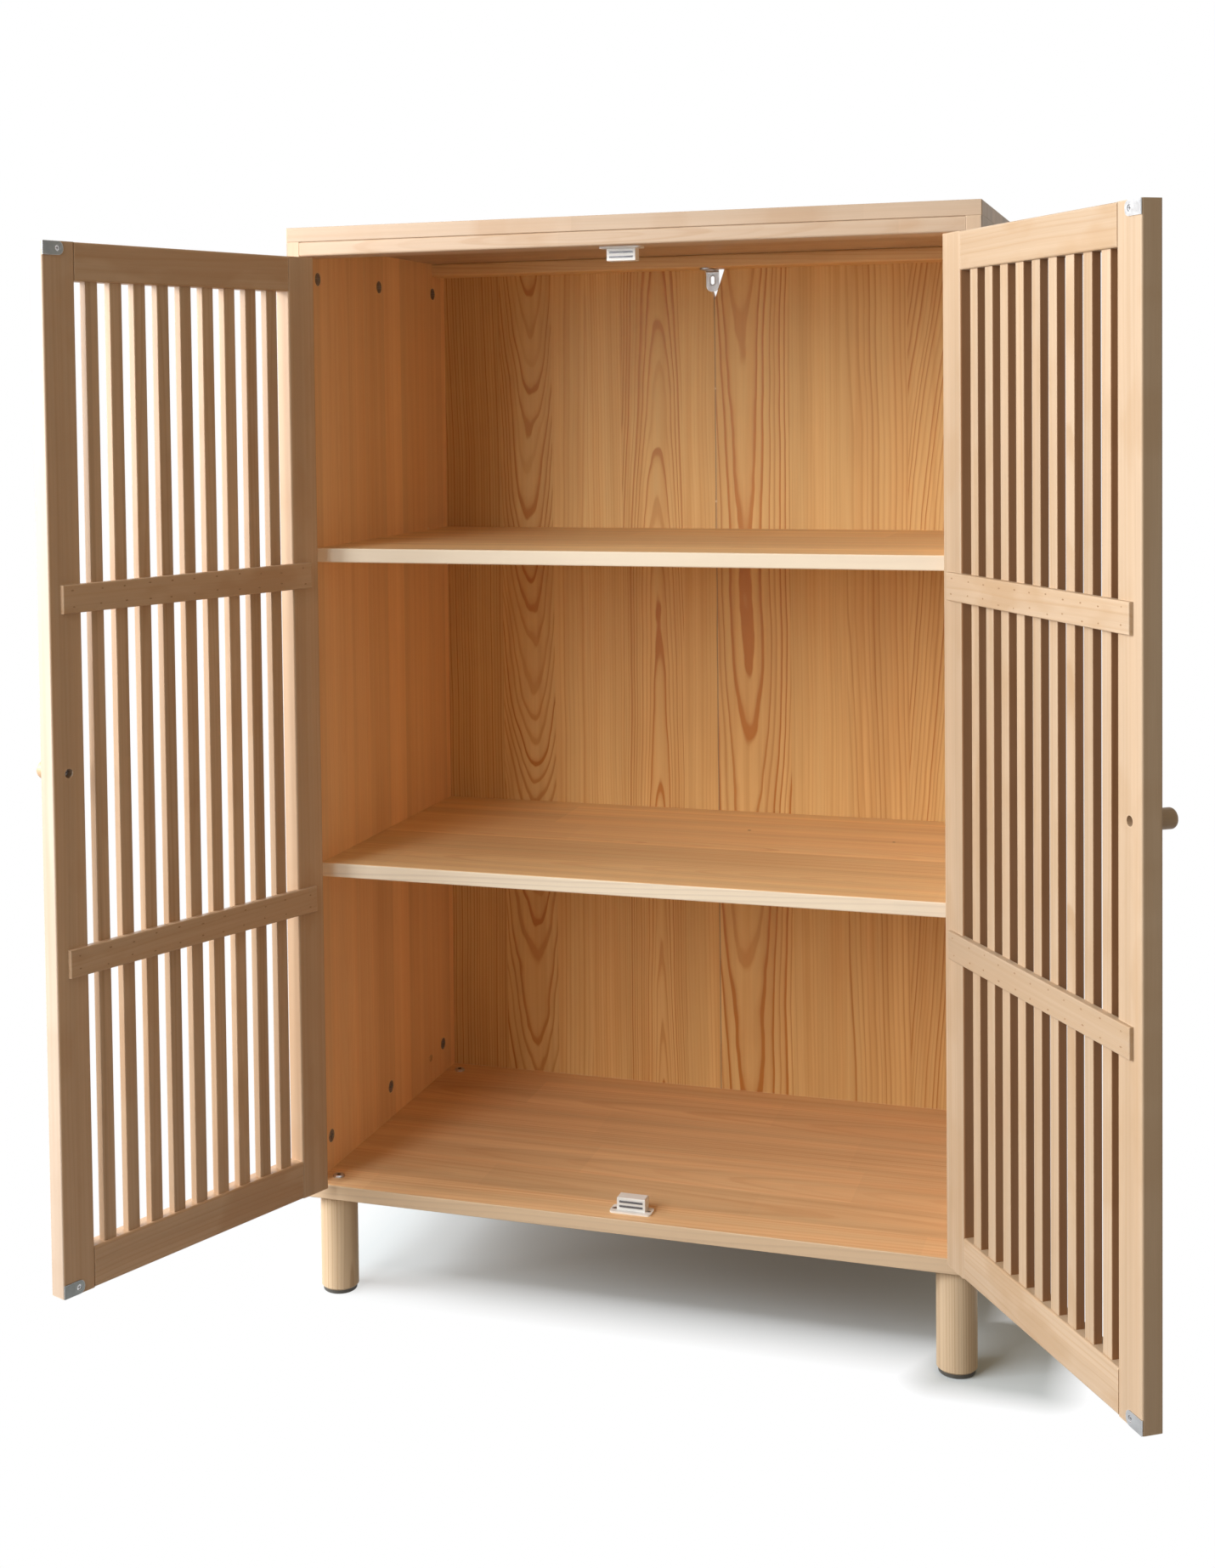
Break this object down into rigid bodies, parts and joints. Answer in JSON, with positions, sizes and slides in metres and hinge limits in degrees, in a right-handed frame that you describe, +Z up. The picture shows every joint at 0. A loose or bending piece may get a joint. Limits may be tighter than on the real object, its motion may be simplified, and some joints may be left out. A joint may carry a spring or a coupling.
{
  "type": "cabinet",
  "caption": "Pine cabinet on round legs with fixed shelves and a pair of slatted doors that swing open on butt hinges.",
  "frame": {"origin": "on the floor, under the centre of the box round the cabinet with its doors open as stored", "axes": "+Z up; +X to the cabinet's right side as seen from the front; +Y from the door side to the back panels"},
  "size_m": [1.0763, 0.8011, 1.2],
  "materials": {
    "pine_boards": "clear satin lacquer on pine",
    "pine_back": "clear satin lacquer on flat-sawn pine panel",
    "pine_doors": "clear satin lacquer on pine",
    "pine_legs": "clear satin lacquer on turned pine",
    "pine_knobs": "clear satin lacquer on a pine dowel",
    "hardwood_dowels": "bare beech",
    "dark_glides": "dark moulded glide",
    "white_plastic": "white moulded plastic",
    "zinc_steel": "zinc plated steel",
    "cast_zinc": "die-cast zinc, dulled",
    "ferrite": "ferrite magnet"
  },
  "bodies": {
    "carcass": {"top_board": "pine_boards", "bottom_board": "pine_boards", "left_side_panel": "pine_boards", "right_side_panel": "pine_boards", "front_top_rail": "pine_boards", "rear_top_rail": "pine_boards", "left_back_panel": "pine_back", "right_back_panel": "pine_back", "upper_shelf": "pine_boards", "lower_shelf": "pine_boards", "front_left_leg": "pine_legs", "front_right_leg": "pine_legs", "rear_left_leg": "pine_legs", "rear_right_leg": "pine_legs", "leg_glides": "dark_glides", "leg_bolts": "zinc_steel", "cam_locks": "cast_zinc", "cam_bolts": "zinc_steel", "shelf_dowels": "hardwood_dowels", "rail_dowels": "hardwood_dowels", "back_panel_screws": "zinc_steel", "upper_catch_housing": "white_plastic", "lower_catch_housing": "white_plastic", "catch_pole_plates": "zinc_steel", "catch_magnets": "ferrite", "catch_screws": "zinc_steel", "wall_bracket": "zinc_steel", "bracket_screw": "zinc_steel", "left_hinge_frame_leaves": "zinc_steel", "right_hinge_frame_leaves": "zinc_steel", "left_hinge_pins": "zinc_steel", "right_hinge_pins": "zinc_steel", "hinge_frame_screws": "zinc_steel"},
    "left_door": {"left_door_hinge_stile": "pine_doors", "left_door_free_stile": "pine_doors", "left_door_top_rail": "pine_doors", "left_door_bottom_rail": "pine_doors", "left_door_slats": "pine_doors", "left_door_upper_batten": "pine_doors", "left_door_lower_batten": "pine_doors", "left_door_knob": "pine_knobs", "left_door_knob_screw": "zinc_steel", "left_door_strike_plates": "zinc_steel", "left_door_strike_screws": "zinc_steel", "left_door_hinge_leaves": "zinc_steel", "left_door_hinge_screws": "zinc_steel"},
    "right_door": {"right_door_hinge_stile": "pine_doors", "right_door_free_stile": "pine_doors", "right_door_top_rail": "pine_doors", "right_door_bottom_rail": "pine_doors", "right_door_slats": "pine_doors", "right_door_upper_batten": "pine_doors", "right_door_lower_batten": "pine_doors", "right_door_knob": "pine_knobs", "right_door_knob_screw": "zinc_steel", "right_door_strike_plates": "zinc_steel", "right_door_strike_screws": "zinc_steel", "right_door_hinge_leaves": "zinc_steel", "right_door_hinge_screws": "zinc_steel"}
  },
  "joints": [
    {"name": "left_door_hinge", "type": "hinge", "parent": "carcass", "child": "left_door", "pos_m": [-0.3965, -0.054, 0.648], "axis": [0, 0, -1], "range_deg": [-111, 69]},
    {"name": "right_door_hinge", "type": "hinge", "parent": "carcass", "child": "right_door", "pos_m": [0.3285, -0.054, 0.648], "axis": [0, 0, 1], "range_deg": [-124, 56]}
  ]
}
